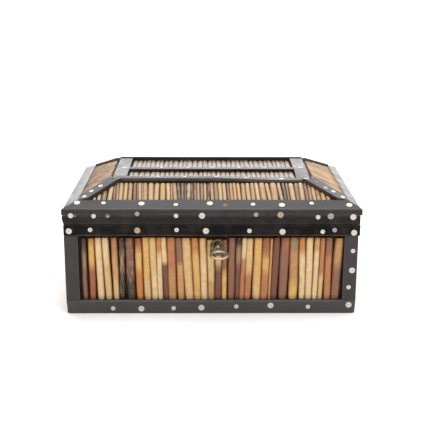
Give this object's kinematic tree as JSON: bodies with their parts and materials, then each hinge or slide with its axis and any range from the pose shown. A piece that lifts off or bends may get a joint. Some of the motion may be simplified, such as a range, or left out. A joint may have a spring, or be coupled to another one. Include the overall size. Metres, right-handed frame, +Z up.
{
  "type": "quill and ebony table box with hinged hipped lid",
  "caption": "Rectangular hinged box with an ebony frame, quill panels, a hipped flat-topped lid and a key in its lock.",
  "frame": {"origin": "centre of the box's flat underside, in the plane it stands on", "axes": "+X to the right along the long side, +Y to the back where the hinges are, +Z up through the lid"},
  "size_m": [0.2688, 0.1974, 0.1192],
  "materials": {
    "ebony": "satin",
    "carcass_wood": "matte",
    "quill": "satin",
    "bone": "satin",
    "aged_brass": "satin"
  },
  "bodies": {
    "base": {"base_bottom_board": "carcass_wood", "base_front_board": "carcass_wood", "base_right_board": "carcass_wood", "base_back_board": "carcass_wood", "base_left_board": "carcass_wood", "base_front_bottom_rail": "ebony", "base_front_top_rail": "ebony", "base_right_bottom_rail": "ebony", "base_right_top_rail": "ebony", "base_back_bottom_rail": "ebony", "base_back_top_rail": "ebony", "base_left_bottom_rail": "ebony", "base_left_top_rail": "ebony", "base_post_front_left": "ebony", "base_post_front_right": "ebony", "base_post_back_right": "ebony", "base_post_back_left": "ebony", "base_front_quills": "quill", "base_right_quills": "quill", "base_back_quills": "quill", "base_left_quills": "quill", "keyhole_plate": "aged_brass", "key": "aged_brass", "base_hinge_leaf_left": "aged_brass", "base_hinge_leaf_right": "aged_brass"},
    "lid": {"lid_front_band": "ebony", "lid_right_band": "ebony", "lid_back_band": "ebony", "lid_left_band": "ebony", "lid_front_edge_strip": "ebony", "lid_right_edge_strip": "ebony", "lid_back_edge_strip": "ebony", "lid_left_edge_strip": "ebony", "lid_hip_strip_front_left": "ebony", "lid_hip_strip_front_right": "ebony", "lid_hip_strip_back_right": "ebony", "lid_hip_strip_back_left": "ebony", "lid_top_rail_front": "ebony", "lid_top_rail_rear": "ebony", "lid_top_rail_left": "ebony", "lid_top_rail_right": "ebony", "lid_top_rail_middle": "ebony", "lid_front_slope_board": "carcass_wood", "lid_right_slope_board": "carcass_wood", "lid_back_slope_board": "carcass_wood", "lid_left_slope_board": "carcass_wood", "lid_top_board": "carcass_wood", "lid_front_slope_quills": "quill", "lid_right_slope_quills": "quill", "lid_back_slope_quills": "quill", "lid_left_slope_quills": "quill", "lid_top_quills_front": "quill", "lid_top_quills_rear": "quill", "lid_hinge_leaf_left": "aged_brass", "lid_hinge_leaf_right": "aged_brass"}
  },
  "joints": [
    {"name": "lid_hinge", "type": "hinge", "parent": "base", "child": "lid", "pos_m": [0, 0.0854, 0.08525], "axis": [-1, 0, 0], "range_deg": [0, 100]}
  ]
}
